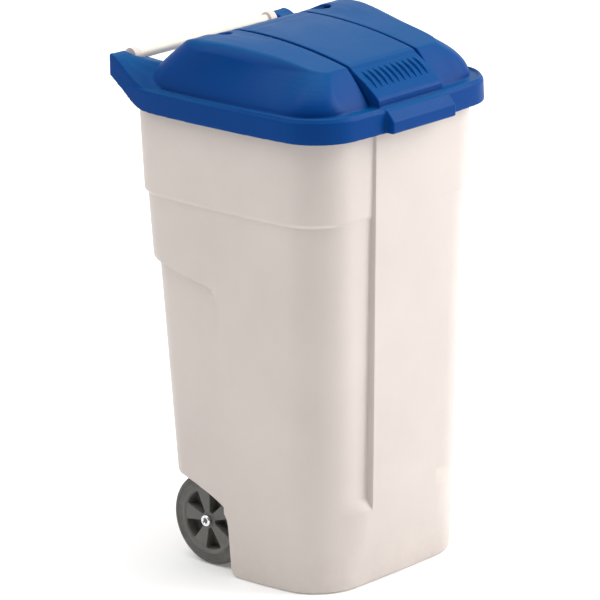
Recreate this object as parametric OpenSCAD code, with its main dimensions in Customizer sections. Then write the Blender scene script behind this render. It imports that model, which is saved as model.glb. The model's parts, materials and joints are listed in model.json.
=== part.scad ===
// Two-wheeled roll-out waste bin with a two-domed hinged lid.
// Millimetres. Z up, front towards -Y, origin on the ground under the middle of the whole outline.

/* [Body] */
// Half width of the body at the ground
base_half_w = 164.5; // [140:0.5:190]
// Half width of the body just below the upper step
mid_half_w = 182; // [160:0.5:210]
// Half width of the body just under the lid
top_half_w = 190.5; // [165:0.5:220]
// Front of the body at the ground
base_front = -178.6; // [-230:0.1:-140]
// Front of the body below the upper step
mid_front = -198.5; // [-250:0.1:-150]
// Front of the body just under the lid
top_front = -206.5; // [-260:0.1:-160]
// Rear of the body at the ground
base_rear = 154; // [120:0.5:200]
// Rear of the body below the upper step
mid_rear = 187; // [150:0.5:230]
// Rear of the body just under the lid
top_rear = 194; // [150:0.5:240]
// Height of the upper step
step_z = 597; // [450:1:680]
// Height of the body rim
rim_z = 756; // [600:1:900]
// Plan radius of the body corners
corner_r = 66; // [30:1:90]
// Outward bow of each side
side_bow = 9; // [0:0.5:16]
// Outward bow of each side at the ground
foot_bow = 17; // [0:0.5:20]
// Outward bow of the front
front_bow = 5; // [0:0.5:16]
// Wall thickness of the body
wall = 4; // [3:0.25:6]

/* [Front panel] */
// Half width of the proud front panel
panel_half_w = 75; // [50:1:100]
// Height of the panel's lower end
panel_bottom_z = 128; // [60:1:250]
// Front of the panel at its lower end
panel_low_y = -199.6; // [-240:0.1:-180]
// Front of the panel at the rim
panel_high_y = -215; // [-240:0.1:-190]

/* [Rear recess and arches] */
// Depth of the recess in the rear part of each side
recess_d = 8; // [4:0.5:14]
// Front edge of the recess
recess_y = 16; // [14:1:60]
// Inner edge of the recess on the rear wall
recess_in = 98; // [60:1:130]
// Front edge of the wheel arch
arch_y = 6; // [0:1:14]
// Height of the arch edge at the rear
arch_rear_z = 145; // [136:1:155]

/* [Wheels] */
// Outer radius of the tyre
tyre_r = 74; // [60:1:120]
// Width of the tyre
tyre_w = 26; // [24:1:60]
// Radius where the tyre sits on the hub
seat_r = 55; // [45:1:90]
// Radius of the outer end of the hub windows
window_r = 48; // [35:1:70]
// Distance of the axle behind the origin
axle_y = 67; // [20:1:90]
// Outer face of each wheel from the middle
wheel_face_x = 164; // [150:1:166]
// Radius of the axle
axle_r = 6; // [4:0.5:8]
// Number of spokes
spokes = 5; // [3:1:8]
// Turn of the spokes at rest, in degrees
hub_turn = 24; // [0:1:72]

/* [Lid] */
// Half width of the lid skirt at its corners
lid_half_w = 205; // [180:1:230]
// Front of the lid skirt at its corners
lid_front = -221; // [-260:1:-190]
// Rear edge of the lid between its ears
lid_rear = 196; // [150:1:230]
// Lower edge of the lid skirt
skirt_z = 728; // [600:1:800]
// Top of the lid flange
flange_z = 763; // [640:1:860]
// Outward bow of the lid front
lid_front_bow = 12; // [0:0.5:20]
// Half width of the crease round the domes at its widest
crease_half_w = 187; // [182:1:189]
// Height of the crest of the lid
crest_z = 844; // [800:1:890]
// Half width of the centre spine
spine_half_w = 73; // [50:1:90]
// Width of the groove each side of the spine
groove_w = 6; // [3:0.5:10]
// Depth of that groove
groove_d = 8; // [3:0.5:12]
// Wall thickness of the lid
lid_wall = 3.5; // [2.5:0.25:5]
// Half width of the grip tab
tab_half_w = 71; // [50:1:90]
// Number of ribs on the grip pad
pad_ribs = 10; // [6:1:14]

/* [Handle and hinge] */
// Distance of the handle bar behind the origin
bar_y = 213; // [190:1:240]
// Height of the handle bar
bar_z = 795; // [700:1:850]
// Radius of the handle bar
bar_r = 8.5; // [7:0.5:14]
// Inner face of each handle arm from the middle
arm_x = 147; // [120:1:156]
// Thickness of each handle arm
arm_t = 13; // [8:1:16]
// Radius of the hinge pins
pin_r = 3.5; // [2.5:0.25:5]

/* [Fits] */
// Radial clearance of a bore that turns on its pin
run_fit = 0.06; // [0.02:0.01:0.1]

/* [Hidden] */
$fn = 72;
arc_n = 9;
side_n = 3;
axle_z = tyre_r;
step_h = 4;
step_out = 5;
crease_front = -163;
crease_rear = 106;
crease_front_r = 26;
crease_rear_r = 56;
crease_taper = 0.248;
crease_taper_y = 38;
foot_round = 5;
arm_out = arm_x + arm_t;
ear_in = 164;
ear_wall = 4;
ear_open = 194;
wheel_in = wheel_face_x - tyre_w;
bay_in = wheel_in - 5;
bay_r = tyre_r + 7;
floor_z = 98;
web_t = 4;
boss_r = 13;
bush_r = 9;
cap_r = 9.5;
axle_end = wheel_face_x + 4;
crest_y = 43;
tab_front = -246;
ear_rear = 221;
hub_r = bar_r + 4;
frame_y = -(tab_front + bar_y + hub_r) / 2;

// ---------- shape helpers ----------

// Straight blend between a and b
function mix(a, b, t) = a + (b - a) * t;

// Corner points of one rounded plan outline, counter-clockwise from the front left
function corner(cx, cy, r, a0) =
    [for (i = [0:arc_n]) [cx + r * cos(a0 + 90 * i / arc_n), cy + r * sin(a0 + 90 * i / arc_n)]];

// Points between two corners
function between(a, b) = [for (i = [1:side_n]) a + (b - a) * i / (side_n + 1)];

// Rounded plan outline: half width, front, rear, front radius, rear radius
function outline(h, f, b, rf, rb) =
    let (c1 = corner(-h + rf, f + rf, rf, 180), c2 = corner(h - rf, f + rf, rf, 270),
         c3 = corner(h - rb, b - rb, rb, 0), c4 = corner(-h + rb, b - rb, rb, 90))
    concat(c1, between(c1[arc_n], c2[0]), c2, between(c2[arc_n], c3[0]),
        c3, between(c3[arc_n], c4[0]), c4, between(c4[arc_n], c1[0]));

// Push the sides out by bs and the front out by bf, most at their middles
function bowed(pts, h, f, b, bs, bf) =
    let (mid = (f + b) / 2, half = (b - f) / 2)
    [for (p = pts) [
        p[0] + bs * p[0] / h * (1 - pow((p[1] - mid) / half, 2)),
        p[1] - (p[1] < mid ? bf * (mid - p[1]) / half * (1 - pow(p[0] / h, 2)) : 0)]];

function at_z(pts, z) = [for (p = pts) [p[0], p[1], z]];

// Closed skin over a list of rings that have the same number of points
module loft(rings) {
    n = len(rings[0]);
    m = len(rings);
    pts = [for (ring = rings) each ring];
    bottom = [[for (i = [0:n - 1]) i]];
    top = [[for (i = [n - 1:-1:0]) (m - 1) * n + i]];
    skin = [for (k = [0:m - 2], i = [0:n - 1], half = [0, 1])
        let (a = k * n + i, b = k * n + (i + 1) % n, c = a + n, d = b + n)
        half == 0 ? [a, d, b] : [a, c, d]];
    polyhedron(points = pts, faces = concat(bottom, skin, top));
}

// Prism of a side-view outline, from x0 to x1
module side_prism(x0, x1, pts) {
    translate([x0, 0, 0])
        rotate([90, 0, 90])
            linear_extrude(height = x1 - x0)
                polygon(pts);
}

// Cylinder along X
module rod_x(x0, x1, r) {
    translate([x0, 0, 0])
        rotate([0, 90, 0])
            cylinder(h = x1 - x0, r = r);
}

// Move a finished piece so that the origin sits under the middle of the whole bin
module placed() {
    translate([0, frame_y, 0])
        children();
}

// Both sides of a left and right pair
module pair() {
    children();
    mirror([1, 0, 0])
        children();
}

// ---------- body ----------

// Outward bow of the sides at height z
function bow_at(z) = mix(foot_bow, side_bow, min(1, max(0, z / step_z)));

// Plan sizes of the body at height z, drawn in by t
function body_h(z) = z < step_z ? mix(base_half_w, mid_half_w, z / step_z)
    : mix(mid_half_w + step_out, top_half_w, (z - step_z) / (rim_z - step_z));
function body_f(z) = z < step_z ? mix(base_front, mid_front, z / step_z)
    : mix(mid_front - step_out / 2, top_front, (z - step_z) / (rim_z - step_z));
function body_b(z) = z < step_z ? mix(base_rear, mid_rear, z / step_z)
    : mix(mid_rear + step_out / 2, top_rear, (z - step_z) / (rim_z - step_z));

function body_ring(z, t, zout) =
    let (h = body_h(z) - t, f = body_f(z) + t, b = body_b(z) - t)
    at_z(bowed(outline(h, f, b, corner_r - t / 2, corner_r * 0.72 - t / 2), h, f, b,
        bow_at(z), front_bow), zout);

module body_outer() {
    loft([
        body_ring(0, foot_round, 0),
        body_ring(0, foot_round * 0.3, foot_round * 0.3),
        body_ring(foot_round, 0, foot_round),
        body_ring(step_z - step_h, 0, step_z - step_h),
        body_ring(step_z, 0, step_z),
        body_ring(rim_z, 0, rim_z)]);
}

module body_inner() {
    loft([
        body_ring(0, wall + foot_round, 6),
        body_ring(12, wall, 12),
        body_ring(step_z - step_h, wall, step_z - step_h - wall / 2),
        body_ring(step_z, wall, step_z - wall / 2),
        body_ring(rim_z, wall, rim_z + 2)]);
}

// Side view of the front panel, drawn in by t
function panel_outline(t) = [
    [-150, panel_bottom_z + t],
    [mix(panel_low_y, -150, 0.24), panel_bottom_z + t],
    [panel_low_y + t, panel_bottom_z + 19 + t / 2],
    [panel_high_y + t, rim_z - 18 + t * 5],
    [-150, rim_z - 18 + t * 5]];

// Side view of the recess in the rear part of a side
recess_outline = [
    [recess_y, -20],
    [recess_y, 440],
    [recess_y + 4, 455],
    [recess_y + 16, 463],
    [160, 487],
    [260, 505],
    [260, -20]];

// What a recess takes from one side and rear corner, grown by d for the wall behind it
module recess(d) {
    difference() {
        translate([0, -d, 0])
            side_prism(-260, -recess_in + d, [for (p = recess_outline) [p[0], p[1] + (p[1] > 0 ? d : 0)]]);
        loft([
            body_ring(-1, recess_d + d, -30),
            body_ring(step_z - step_h, recess_d + d, step_z - step_h)]);
    }
}

// Side view of the arch opening and the open rear below it
arch_outline = [
    [arch_y - 21, -20],
    [arch_y - 18, -3],
    [arch_y - 11, 0.5],
    [arch_y - 5.5, 5],
    [arch_y - 2.5, 13],
    [arch_y + 0.5, 60],
    [arch_y + 3.6, 90],
    [arch_y + 9.5, 100.5],
    [arch_y + 18, 107.5],
    [arch_y + 34.5, 115.5],
    [arch_y + 49.3, 121.8],
    [arch_y + 66.3, 127],
    [arch_y + 85.5, 133],
    [arch_y + 140, arch_rear_z],
    [220, arch_rear_z + 12],
    [220, -20]];

module arch_cut() {
    side_prism(-260, -bay_in, arch_outline);
}

module wheel_bay(r, x0, x1) {
    translate([0, axle_y, axle_z])
        rod_x(x0, x1, r);
    side_prism(x0, x1, [
        [axle_y - r, -20],
        [axle_y - r, axle_z],
        [axle_y + r, axle_z],
        [axle_y + r, -20]]);
}

// Room for the contents, kept clear of the bays, the axle tunnel and the recesses
module body_cavity() {
    difference() {
        union() {
            body_inner();
            side_prism(-panel_half_w + wall, panel_half_w - wall, panel_outline(wall));
        }
        pair()
            recess(wall);
        pair()
            wheel_bay(bay_r + wall, -260, -bay_in + wall);
        pair()
            side_prism(-260, -bay_in + wall, [
                [axle_y, -20],
                [axle_y, axle_z + bay_r + wall],
                [240, axle_z + bay_r + wall + 6],
                [240, -20]]);
        side_prism(-260, 260, [
            [axle_y - bay_r - wall, -20],
            [axle_y - bay_r - wall, floor_z],
            [98, floor_z],
            [124, 114],
            [140, 144],
            [240, 160],
            [240, -20]]);
    }
}

// Open pocket under the rear floor, with the axle bosses left standing
module under_pocket() {
    difference() {
        side_prism(-bay_in + web_t, bay_in - web_t, [
            [axle_y - bay_r, -20],
            [axle_y - bay_r, floor_z - wall],
            [base_rear - wall + 1, floor_z - wall],
            [base_rear - wall - 2, -20]]);
        translate([0, axle_y, axle_z])
            pair()
                rod_x(-bay_in, -bay_in + 22, boss_r);
    }
}

// Side view of what is open below the lower rear
rear_cut = [
    [60, -20],
    [60, 4],
    [92, 30],
    [116, 90],
    [134, 126],
    [150, 142],
    [260, 160],
    [260, -20]];

arm_leg = [
    [bar_y - 8, bar_z],
    [bar_y - 17, rim_z + 4],
    [top_rear - 3, rim_z - 8],
    [top_rear - 4, 716],
    [top_rear + 8, 738],
    [bar_y + 6, bar_z - 26],
    [bar_y + 11, bar_z - 6]];

module handle_arm() {
    difference() {
        union() {
            side_prism(-arm_out, -arm_x, arm_leg);
            translate([0, bar_y, bar_z])
                rod_x(-arm_out, -arm_x, hub_r);
        }
        translate([0, bar_y, bar_z]) {
            rod_x(-arm_x - 7, -arm_x + 1, bar_r);
            rod_x(-arm_out - 1, -arm_x, pin_r);
        }
    }
}

module bin_body() {
    color([0.80, 0.75, 0.69])
        placed()
            union() {
                difference() {
                    union() {
                        body_outer();
                        side_prism(-panel_half_w, panel_half_w, panel_outline(0));
                    }
                    pair()
                        recess(0);
                    pair()
                        arch_cut();
                    pair()
                        wheel_bay(bay_r, -wheel_face_x - 1, -bay_in);
                    body_cavity();
                    under_pocket();
                    translate([0, axle_y, axle_z])
                        rod_x(-bay_in - 1, bay_in + 1, axle_r);
                    side_prism(-260, 260, rear_cut);
                    translate([0, -80, -1])
                        cylinder(h = 12, r = 11);
                }
                pair()
                    handle_arm();
            }
}

module handle_bar() {
    color([0.93, 0.90, 0.84])
        placed()
            translate([0, bar_y, bar_z])
                difference() {
                    rod_x(-arm_x - 7, arm_x + 7, bar_r);
                    rod_x(-arm_x - 8, arm_x + 8, bar_r - 2.5);
                }
}

module hinge_pin() {
    translate([0, bar_y, bar_z])
        rod_x(-ear_in - ear_wall - 4, -arm_x - 7, pin_r);
}

module hinge_pin_left() {
    color([0.75, 0.75, 0.77])
        placed()
            hinge_pin();
}

module hinge_pin_right() {
    color([0.75, 0.75, 0.77])
        placed()
            mirror([1, 0, 0])
                hinge_pin();
}

module drain_plug() {
    color([0.25, 0.26, 0.28])
        placed()
            translate([0, -80, 0])
                union() {
                    translate([0, 0, 1])
                        cylinder(h = 7, r = 11);
                    translate([0, 0, 6])
                        cylinder(h = 3, r = 15);
                }
}

// ---------- lid ----------

module skirt_loft(t, z0, z1, rear) {
    h = lid_half_w - t;
    f = lid_front + t;
    loft([
        at_z(bowed(outline(h, f, rear, corner_r - t, 8), h, f, rear, side_bow, lid_front_bow), z0),
        at_z(bowed(outline(h - 1, f + 1, rear, corner_r - t, 8), h, f, rear, side_bow,
            lid_front_bow), z1 - 5),
        at_z(bowed(outline(h - 4, f + 4, rear, corner_r - t - 3, 8), h, f, rear, side_bow,
            lid_front_bow), z1)]);
}

// Height of the lid's crest line along its length
function crown(y) = y < crest_y ? crest_z - 24 * pow((crest_y - y) / 200, 2)
    : crest_z - 20 * pow(max(0, y - crest_y - 13) / 52, 2);

// S curve from 0 at t = 0 to 1 at t = 1
function ease(t) = let (u = min(1, max(0, t))) u * u * (3 - 2 * u);

// Height of the domes' nearly flat top, a little higher at its outer rear
function dome_top(x, y) = crown(y) + 3 * ease((y + 60) / 100) * ease((abs(x) - 85) / 50);

// How far the crease round a dome lies below its top
function crease_drop(y) = 1.5 + 12.5 * ease((y + 160) / 90) * (1 - ease((y - 50) / 50));

// Plan of the crease, drawn in by d; it narrows towards the front
function crease_plan(d) = [
    for (p = outline(crease_half_w - d, crease_front + d, crease_rear - d,
        max(8, crease_front_r - d * 0.3), max(12, crease_rear_r - d)))
    [p[0] * (1 - crease_taper * max(0, crease_taper_y - p[1]) / crease_half_w), p[1]]];

// Plan of the domes' foot, drawn in by t
function foot_plan(t) =
    let (h = lid_half_w - 17 - t, f = lid_front + 20 + t, b = 176 - t)
    bowed(outline(h, f, b, 54 - t, 43 - t), h, f, b, side_bow, 3);

// Ring of a dome's side, a share s of the way from foot to crease
function side_ring(t, s) = let (foot = foot_plan(t), crease = crease_plan(t))
    [for (i = [0:len(foot) - 1])
        let (f = foot[i], c = crease[i], z = dome_top(c[0], c[1]) - crease_drop(c[1]),
             bulge = ease((abs(f[0]) - 120) / 45) * ease((-115 - f[1]) / 55),
             k = pow(s, mix(1.25, 2.3, bulge)))
        [mix(f[0], c[0], k), mix(f[1], c[1], k), mix(flange_z + 1, z, s) - t]];

// Ring of the shoulder, a share q of the way from the crease to the flat top
function shoulder_ring(t, q) = let (crease = crease_plan(t), inner = crease_plan(t + 24))
    [for (i = [0:len(crease) - 1])
        let (drop = crease_drop(crease[i][1]), p = mix(crease[i], inner[i], q * (1.2 * drop + 3) / 24))
        [p[0], p[1], dome_top(p[0], p[1]) - drop * pow(1 - q, 2.2) - t]];

module dome(t) {
    loft(concat(
        [at_z(foot_plan(t), flange_z - 5 - t * 3)],
        [for (s = [0, 0.3, 0.6, 1]) side_ring(t, s)],
        [for (q = [0.3, 1]) shoulder_ring(t, q)],
        [for (d = [30, 88]) [for (p = crease_plan(t + d)) [p[0], p[1], dome_top(p[0], p[1]) - t]]],
        [[for (p = crease_plan(t + 88)) [p[0] * 0.2, p[1] * 0.92, crown(p[1] * 0.92) - t]]]));
}

// Side view of the centre spine, lowered by t
function spine_outline(t) = concat(
    [[176 - t, flange_z - 5 - t * 3], [176 - t, flange_z - t], [150 - t, 779 - t]],
    [[100 - t, 806 - t], [62 - t, 832 - t]],
    [for (y = [crest_y:-16.5:-155]) [y, crown(y) + 0.6 - t]],
    [[-190 + t * 0.6, 800 - t], [-214 + t, 779 - t], [-218 + t, 774 - t], [-218 + t, flange_z - 5 - t * 3]]);

// Side view of the band a groove takes away
groove_outline = concat(
    [for (y = [128:-17:-155]) [y, crown(y) - groove_d]],
    [[-164, 810], [-178, 787], [-190, 761], [-260, 761], [-260, 900], [128, 900]]);

module grooves(w, d) {
    pair()
        translate([0, 0, -d])
            side_prism(-spine_half_w - groove_w - w, -spine_half_w + w, groove_outline);
}

// One oval scallop at the rear of a dome, beside the groove
module scallop() {
    translate([-112, 66, crest_z - 8])
        linear_extrude(height = 40)
            polygon([for (a = [0:10:350]) [16 * cos(a), 20 * sin(a)]]);
}

// Stations of a rear ear: y, lower edge, outer top, ridge, outer face
ear_stations = [
    [126, skirt_z, flange_z + 0.5, flange_z + 18, 204.7],
    [140, skirt_z + 0.6, flange_z + 1, flange_z + 31, 204.2],
    [150, skirt_z + 2, flange_z + 3, flange_z + 34, 203.8],
    [164, skirt_z + 7.5, flange_z + 9.5, flange_z + 34, 203],
    [180, skirt_z + 16.5, flange_z + 19.5, flange_z + 34.5, 202],
    [195, skirt_z + 27, flange_z + 31, flange_z + 36.4, 200.8],
    [208, skirt_z + 35.5, flange_z + 39, flange_z + 39.4, 199.6],
    [ear_rear, skirt_z + 43, flange_z + 42, flange_z + 41.5, 198]];

function ear_ring(s, t, low) = [
    [-s[4] + t, s[0], s[1] - low],
    [-s[4] + t, s[0], s[2] - t - 1],
    [-s[4] + t + 2, s[0], s[2] - t],
    [-ear_in - 3, s[0], s[3] - t],
    [-ear_in - t, s[0], s[3] - 1 - t],
    [-ear_in - t, s[0], flange_z - 5 - low]];

module ear_outer() {
    loft([for (s = ear_stations) ear_ring(s, 0, 0)]);
}

module ear_inner() {
    loft(concat(
        [for (i = [0:6]) ear_ring(ear_stations[i], lid_wall, 30)],
        [[for (p = ear_ring(ear_stations[7], lid_wall, 30)) [p[0], p[1] - 3.5, p[2]]]]));
}

// Ramp that joins the ridge of an ear to the flat rear flange
module ear_ramp(t) {
    loft([for (s = [[126, 18], [140, 31], [150, 34], [180, 34.5], [lid_rear, 36.4]])
        let (up = s[1]) [
            [-ear_in - 2, s[0], flange_z - 4 - t * 3],
            [-ear_in - 2, s[0], flange_z + up - t - 0.5],
            [-ear_in + 6, s[0], flange_z + up * 0.97 - t],
            [-128, s[0], flange_z + up * 0.7 - t],
            [-92, s[0], flange_z + up * 0.28 - t],
            [-60, s[0], flange_z - t],
            [-60, s[0], flange_z - 4 - t * 3]]]);
}

// What is cut away under the ears, so that the skirt sweeps up into them
module swoop() {
    side_prism(-260, 260, concat([for (s = ear_stations) [s[0], s[1]]],
        [[260, ear_stations[7][1]], [260, 640], [ear_stations[0][0], 640]]));
}

tab_outline = [
    [-222, skirt_z],
    [-245, skirt_z],
    [tab_front, skirt_z + 4],
    [tab_front, skirt_z + 17],
    [-243, skirt_z + 21],
    [-232, flange_z],
    [-210, flange_z]];

tab_hollow = [
    [-200, skirt_z - 5],
    [-242.5, skirt_z - 5],
    [-242.5, skirt_z + 15],
    [-231, flange_z - lid_wall - 1],
    [-200, flange_z - lid_wall - 1]];

// One upright rib of the grip pad
module pad_rib(i) {
    span = panel_half_w * 2 - 30;
    x = mix(-span / 2, span / 2, i / (pad_ribs - 1));
    side_prism(x - 2.6, x + 2.6, [
        [-202, 780],
        [-202.5, 793],
        [-172, 813],
        [-168, 805]]);
}

module lid_shell() {
    color([0.13, 0.36, 0.62])
        placed()
            difference() {
                union() {
                    skirt_loft(0, skirt_z, flange_z, lid_rear);
                    difference() {
                        dome(0);
                        grooves(0, 0);
                        pair()
                            scallop();
                    }
                    side_prism(-spine_half_w, spine_half_w, spine_outline(0));
                    for (i = [0:pad_ribs - 1])
                        pad_rib(i);
                    pair()
                        ear_outer();
                    pair()
                        ear_ramp(0);
                    side_prism(-tab_half_w, tab_half_w, tab_outline);
                }
                swoop();
                skirt_loft(lid_wall, skirt_z - 30, flange_z - lid_wall, lid_rear - lid_wall);
                translate([-ear_open, 120, skirt_z - 30])
                    cube([ear_open * 2, 200, flange_z - lid_wall - skirt_z + 30]);
                difference() {
                    dome(lid_wall);
                    grooves(lid_wall, lid_wall);
                    pair()
                        translate([0, 0, -lid_wall])
                            scallop();
                }
                side_prism(-spine_half_w + lid_wall, spine_half_w - lid_wall, spine_outline(lid_wall));
                pair()
                    ear_inner();
                pair()
                    ear_ramp(lid_wall);
                side_prism(-tab_half_w + lid_wall, tab_half_w - lid_wall, tab_hollow);
                pair()
                    translate([-arm_out - 2, 189, skirt_z])
                        cube([arm_t + 4, 60, 100]);
                pair()
                    translate([0, bar_y, bar_z])
                        rod_x(-ear_in - 10, -ear_in + 5, pin_r + run_fit);
            }
}

module lid_buffers() {
    color([0.2, 0.2, 0.2])
        placed()
            for (p = [[100, top_front - 4.5], [60, top_rear - wall / 2]])
                pair()
                    translate([p[0], p[1], rim_z + 0.2])
                        cylinder(h = flange_z - lid_wall - rim_z - 0.2, r = 3);
}

// ---------- wheels and axle ----------

module axle() {
    color([0.62, 0.63, 0.65])
        placed()
            translate([0, axle_y, axle_z])
                rod_x(-axle_end, axle_end, axle_r);
}

module hub() {
    translate([0, axle_y, axle_z])
        difference() {
            union() {
                difference() {
                    rod_x(-wheel_face_x, -wheel_in, seat_r);
                    rod_x(-wheel_face_x - 1, -wheel_in - tyre_w + 9, window_r);
                    rod_x(-wheel_in - 12, -wheel_in + 1, window_r);
                }
                rod_x(-wheel_face_x + 1, -wheel_in, boss_r + 2);
            }
            rod_x(-wheel_face_x - 1, -wheel_in + 1, bush_r);
            for (i = [0:spokes - 1])
                rotate([hub_turn + i * 360 / spokes, 0, 0])
                    side_prism(-wheel_face_x - 1, -wheel_in + 1, window_outline);
        }
}

window_outline = concat(
    [for (a = [-18:6:18]) [(window_r - 2) * sin(a), (window_r - 2) * cos(a)]],
    [[4, boss_r + 5], [-4, boss_r + 5]]);

module tyre() {
    mid = -wheel_face_x + tyre_w / 2;
    translate([mid, axle_y, axle_z])
        rotate([0, 90, 0])
            rotate_extrude()
                polygon([
                    [seat_r, -tyre_w / 2 + 1],
                    [tyre_r - 9, -tyre_w / 2 + 1],
                    [tyre_r - 4, -tyre_w / 2 + 3.5],
                    [tyre_r - 1, -tyre_w / 2 + 9],
                    [tyre_r, -4],
                    [tyre_r, 4],
                    [tyre_r - 1, tyre_w / 2 - 9],
                    [tyre_r - 4, tyre_w / 2 - 3.5],
                    [tyre_r - 9, tyre_w / 2 - 1],
                    [seat_r, tyre_w / 2 - 1]]);
}

module bush() {
    translate([0, axle_y, axle_z])
        difference() {
            rod_x(-wheel_face_x, -wheel_in, bush_r);
            rod_x(-wheel_face_x - 1, -wheel_in + 1, axle_r + run_fit);
        }
}

module spacer() {
    translate([0, axle_y, axle_z])
        difference() {
            rod_x(-wheel_in + 0.2, -bay_in, bush_r + 2);
            rod_x(-wheel_in - 1, -bay_in + 1, axle_r);
        }
}

module cap() {
    translate([0, axle_y, axle_z])
        difference() {
            union() {
                rod_x(-axle_end - 1, -wheel_face_x - 0.3, cap_r);
                rod_x(-axle_end - 3.5, -axle_end - 1, cap_r - 2.5);
            }
            rod_x(-axle_end, -wheel_face_x + 1, axle_r);
        }
}

module wheel_left_hub() {
    color([0.42, 0.41, 0.39])
        placed()
            hub();
}

module wheel_right_hub() {
    color([0.42, 0.41, 0.39])
        placed()
            mirror([1, 0, 0])
                hub();
}

module wheel_left_tyre() {
    color([0.36, 0.35, 0.34])
        placed()
            tyre();
}

module wheel_right_tyre() {
    color([0.36, 0.35, 0.34])
        placed()
            mirror([1, 0, 0])
                tyre();
}

module wheel_left_bush() {
    color([0.2, 0.2, 0.2])
        placed()
            bush();
}

module wheel_right_bush() {
    color([0.2, 0.2, 0.2])
        placed()
            mirror([1, 0, 0])
                bush();
}

module wheel_left_spacer() {
    color([0.2, 0.2, 0.2])
        placed()
            spacer();
}

module wheel_right_spacer() {
    color([0.2, 0.2, 0.2])
        placed()
            mirror([1, 0, 0])
                spacer();
}

module wheel_left_cap() {
    color([0.85, 0.86, 0.88])
        placed()
            cap();
}

module wheel_right_cap() {
    color([0.85, 0.86, 0.88])
        placed()
            mirror([1, 0, 0])
                cap();
}

bin_body();
handle_bar();
hinge_pin_left();
hinge_pin_right();
lid_shell();
lid_buffers();
drain_plug();
axle();
wheel_left_hub();
wheel_right_hub();
wheel_left_tyre();
wheel_right_tyre();
wheel_left_bush();
wheel_right_bush();
wheel_left_spacer();
wheel_right_spacer();
wheel_left_cap();
wheel_right_cap();
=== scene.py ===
import json
import math

import bmesh
import bpy
from mathutils import Matrix, Vector


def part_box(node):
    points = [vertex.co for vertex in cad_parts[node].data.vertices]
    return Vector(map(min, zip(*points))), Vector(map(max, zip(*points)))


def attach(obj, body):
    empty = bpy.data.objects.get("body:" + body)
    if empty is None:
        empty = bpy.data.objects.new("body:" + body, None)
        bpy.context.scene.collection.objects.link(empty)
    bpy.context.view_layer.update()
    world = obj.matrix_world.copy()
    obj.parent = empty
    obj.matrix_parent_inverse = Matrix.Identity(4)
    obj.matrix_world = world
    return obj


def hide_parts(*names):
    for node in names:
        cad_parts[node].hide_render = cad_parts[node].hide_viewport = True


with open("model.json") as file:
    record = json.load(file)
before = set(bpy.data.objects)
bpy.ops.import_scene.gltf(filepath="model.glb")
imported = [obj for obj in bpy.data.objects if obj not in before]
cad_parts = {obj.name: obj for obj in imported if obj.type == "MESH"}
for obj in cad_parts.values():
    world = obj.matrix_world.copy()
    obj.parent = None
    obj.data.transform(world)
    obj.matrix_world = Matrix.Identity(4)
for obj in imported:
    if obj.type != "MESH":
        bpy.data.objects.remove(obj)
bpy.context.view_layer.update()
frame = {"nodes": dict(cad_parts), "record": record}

NODES = frame["nodes"]

# Drawing units are millimetres, with the drawing's origin under the body's centre.
# The frame's origin is under the middle of the whole outline, which is SHIFT further forward.
MM = 0.001
TAB_FRONT = -246.0
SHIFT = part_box("lid_shell")[0][1] / MM - TAB_FRONT

# ---------------------------------------------------------------- driving sizes (mm)

# body: (half width, front, rear) at the ground, below the step, above the step, at the rim
BASE = (164.5, -178.6, 154.0)
MID = (182.0, -198.5, 187.0)
RIM = (190.5, -206.5, 194.0)
STEP_Z = 597.0
STEP_OUT = (5.0, -2.5, 2.5)
RIM_Z = 756.0
CORNER_R = 66.0
REAR_R = 0.72 * CORNER_R
SIDE_BOW = 9.0
FOOT_BOW = 17.0
FRONT_BOW = 5.0
WALL = 4.0
FOOT_R = 6.0

# the front panel: (height, y) of its low and high ends, and where its side edges run out
PANEL_HALF = 75.0
PANEL_LOW = (147.0, -199.6)
PANEL_HIGH = (738.0, -215.0)
PANEL_POINT_Z = 126.0
PANEL_FADE_X = 108.0

# the recessed rear corners: depth, front edge, inner edge on the rear wall, slanting upper edge
RECESS_D = 8.0
RECESS_Y = 16.0
RECESS_X = 98.0
RECESS_CORNER = 22.0
RECESS_TOP_Z = 463.0
RECESS_TOP_Y = 36.0
RECESS_SLANT = 0.19

FLOOR_Z = 98.0

# lid
LID_HALF = 205.0
LID_FRONT = -221.0
LID_REAR = 196.0
SKIRT_Z = 728.0
FLANGE_Z = 763.0
LID_BOW = 12.0
CREST_Z = 844.0
CREST_Y = 43.0
CREST_FALL = (24.0, 200.0)
REAR_FALL = (20.0, 13.0, 52.0)
SPINE_HALF = 73.0
GROOVE_W = 6.0
GROOVE_D = 9.0
DOME_HALF = 188.0
DOME_FRONT = -201.0
DOME_REAR = 176.0
DOME_R = (54.0, 43.0)
CREASE_HALF = 187.0
CREASE_FRONT = -163.0
CREASE_REAR = 106.0
CREASE_R = (26.0, 56.0)
CREASE_TAPER = 0.248
CREASE_TAPER_Y = 38.0
SHOULDER = 24.0
LID_WALL = 3.5
TAB_HALF = 71.0
EAR_IN = 164.0
EAR_REAR = 221.0

# handle, hinge and wheels, from the frame
_lo, _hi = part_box("handle_bar")
BAR_Y = (_lo[1] + _hi[1]) / 2 / MM - SHIFT
BAR_Z = (_lo[2] + _hi[2]) / 2 / MM
BAR_R = (_hi[2] - _lo[2]) / 2 / MM
BAR_END = _hi[0] / MM
ARM_IN = BAR_END - 7.0
ARM_OUT = ARM_IN + 13.0
PIN_R = (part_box("hinge_pin_left")[1][2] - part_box("hinge_pin_left")[0][2]) / 2 / MM
_lo, _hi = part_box("wheel_left_tyre")
AXLE_Y = (_lo[1] + _hi[1]) / 2 / MM - SHIFT
AXLE_Z = (_lo[2] + _hi[2]) / 2 / MM
TYRE_R = (_hi[2] - _lo[2]) / 2 / MM
_lo, _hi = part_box("wheel_left_hub")
WHEEL_OUT = -_lo[0] / MM
WHEEL_IN = -_hi[0] / MM
SEAT_R = (_hi[2] - _lo[2]) / 2 / MM
BAY_R = TYRE_R + 7.0
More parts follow.
